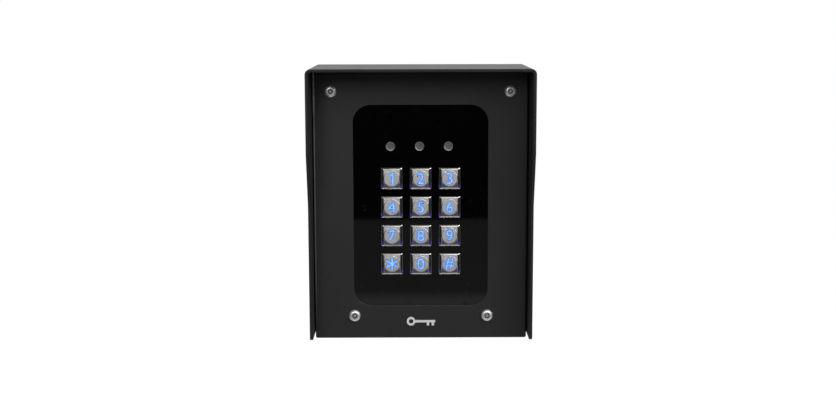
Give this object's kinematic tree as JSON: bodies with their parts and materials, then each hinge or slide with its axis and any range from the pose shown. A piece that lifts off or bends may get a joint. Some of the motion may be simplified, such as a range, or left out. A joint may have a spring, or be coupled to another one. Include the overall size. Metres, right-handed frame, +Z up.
{
  "type": "keypad access reader",
  "caption": "Wall-mounted steel keypad access reader: folded rain hood around a recessed front panel with gloss fascia, square metal push keys, indicator lights and a circuit board behind.",
  "frame": {"origin": "centre of the rear face of the back plate, where it lies on the wall", "axes": "+Z up, +X to the right seen from the front, front faces -Y, wall towards +Y"},
  "size_m": [0.146, 0.081, 0.18],
  "materials": {
    "painted_steel": "fine textured charcoal powder coat",
    "stainless_steel": "plain stainless",
    "zinc_steel": "zinc plated",
    "gloss_black": "polished black",
    "chromed_key": "satin chrome with polished bevels",
    "blue_light": "lit blue",
    "diffuser": "translucent grey",
    "silicone": "translucent silicone",
    "black_rubber": "moulded",
    "black_plastic": "moulded",
    "board_green": "solder mask",
    "terminal_green": "moulded"
  },
  "bodies": {
    "root": {"hood": "painted_steel", "back_plate": "painted_steel", "front_panel": "painted_steel", "panel_screw_top_left": "stainless_steel", "pillar_top_left": "zinc_steel", "board_screw_top_left": "zinc_steel", "panel_screw_top_right": "stainless_steel", "pillar_top_right": "zinc_steel", "board_screw_top_right": "zinc_steel", "panel_screw_bottom_left": "stainless_steel", "pillar_bottom_left": "zinc_steel", "board_screw_bottom_left": "zinc_steel", "panel_screw_bottom_right": "stainless_steel", "pillar_bottom_right": "zinc_steel", "board_screw_bottom_right": "zinc_steel", "fascia_gasket": "black_rubber", "keypad_fascia": "gloss_black", "fascia_nut_1": "zinc_steel", "fascia_nut_2": "zinc_steel", "fascia_nut_3": "zinc_steel", "fascia_nut_4": "zinc_steel", "keymat": "silicone", "circuit_board": "board_green", "indicator_left": "diffuser", "indicator_middle": "diffuser", "indicator_right": "diffuser", "relay": "black_plastic", "microcontroller": "black_plastic", "buzzer": "black_plastic", "terminal_block": "terminal_green", "tamper_switch": "black_plastic", "tamper_post": "zinc_steel", "cable_grommet": "black_rubber", "badge": "stainless_steel"},
    "key_1_body": {"key_1": "chromed_key", "key_1_legend": "blue_light"},
    "key_2_body": {"key_2": "chromed_key", "key_2_legend": "blue_light"},
    "key_3_body": {"key_3": "chromed_key", "key_3_legend": "blue_light"},
    "key_4_body": {"key_4": "chromed_key", "key_4_legend": "blue_light"},
    "key_5_body": {"key_5": "chromed_key", "key_5_legend": "blue_light"},
    "key_6_body": {"key_6": "chromed_key", "key_6_legend": "blue_light"},
    "key_7_body": {"key_7": "chromed_key", "key_7_legend": "blue_light"},
    "key_8_body": {"key_8": "chromed_key", "key_8_legend": "blue_light"},
    "key_9_body": {"key_9": "chromed_key", "key_9_legend": "blue_light"},
    "key_star_body": {"key_star": "chromed_key", "key_star_legend": "blue_light"},
    "key_0_body": {"key_0": "chromed_key", "key_0_legend": "blue_light"},
    "key_hash_body": {"key_hash": "chromed_key", "key_hash_legend": "blue_light"},
    "tamper_plunger_body": {"tamper_plunger": "diffuser"}
  },
  "joints": [
    {"name": "key_1_press", "type": "slide", "parent": "root", "child": "key_1_body", "axis": [0, 1, 0], "range_m": [0, 0.001], "stiffness_N_per_m": 1200, "springref_m": -0.0003},
    {"name": "key_2_press", "type": "slide", "parent": "root", "child": "key_2_body", "axis": [0, 1, 0], "range_m": [0, 0.001], "stiffness_N_per_m": 1200, "springref_m": -0.0003},
    {"name": "key_3_press", "type": "slide", "parent": "root", "child": "key_3_body", "axis": [0, 1, 0], "range_m": [0, 0.001], "stiffness_N_per_m": 1200, "springref_m": -0.0003},
    {"name": "key_4_press", "type": "slide", "parent": "root", "child": "key_4_body", "axis": [0, 1, 0], "range_m": [0, 0.001], "stiffness_N_per_m": 1200, "springref_m": -0.0003},
    {"name": "key_5_press", "type": "slide", "parent": "root", "child": "key_5_body", "axis": [0, 1, 0], "range_m": [0, 0.001], "stiffness_N_per_m": 1200, "springref_m": -0.0003},
    {"name": "key_6_press", "type": "slide", "parent": "root", "child": "key_6_body", "axis": [0, 1, 0], "range_m": [0, 0.001], "stiffness_N_per_m": 1200, "springref_m": -0.0003},
    {"name": "key_7_press", "type": "slide", "parent": "root", "child": "key_7_body", "axis": [0, 1, 0], "range_m": [0, 0.001], "stiffness_N_per_m": 1200, "springref_m": -0.0003},
    {"name": "key_8_press", "type": "slide", "parent": "root", "child": "key_8_body", "axis": [0, 1, 0], "range_m": [0, 0.001], "stiffness_N_per_m": 1200, "springref_m": -0.0003},
    {"name": "key_9_press", "type": "slide", "parent": "root", "child": "key_9_body", "axis": [0, 1, 0], "range_m": [0, 0.001], "stiffness_N_per_m": 1200, "springref_m": -0.0003},
    {"name": "key_star_press", "type": "slide", "parent": "root", "child": "key_star_body", "axis": [0, 1, 0], "range_m": [0, 0.001], "stiffness_N_per_m": 1200, "springref_m": -0.0003},
    {"name": "key_0_press", "type": "slide", "parent": "root", "child": "key_0_body", "axis": [0, 1, 0], "range_m": [0, 0.001], "stiffness_N_per_m": 1200, "springref_m": -0.0003},
    {"name": "key_hash_press", "type": "slide", "parent": "root", "child": "key_hash_body", "axis": [0, 1, 0], "range_m": [0, 0.001], "stiffness_N_per_m": 1200, "springref_m": -0.0003},
    {"name": "tamper_press", "type": "slide", "parent": "root", "child": "tamper_plunger_body", "axis": [0, -1, 0], "range_m": [0, 0.0012], "stiffness_N_per_m": 400, "springref_m": -0.0005}
  ]
}
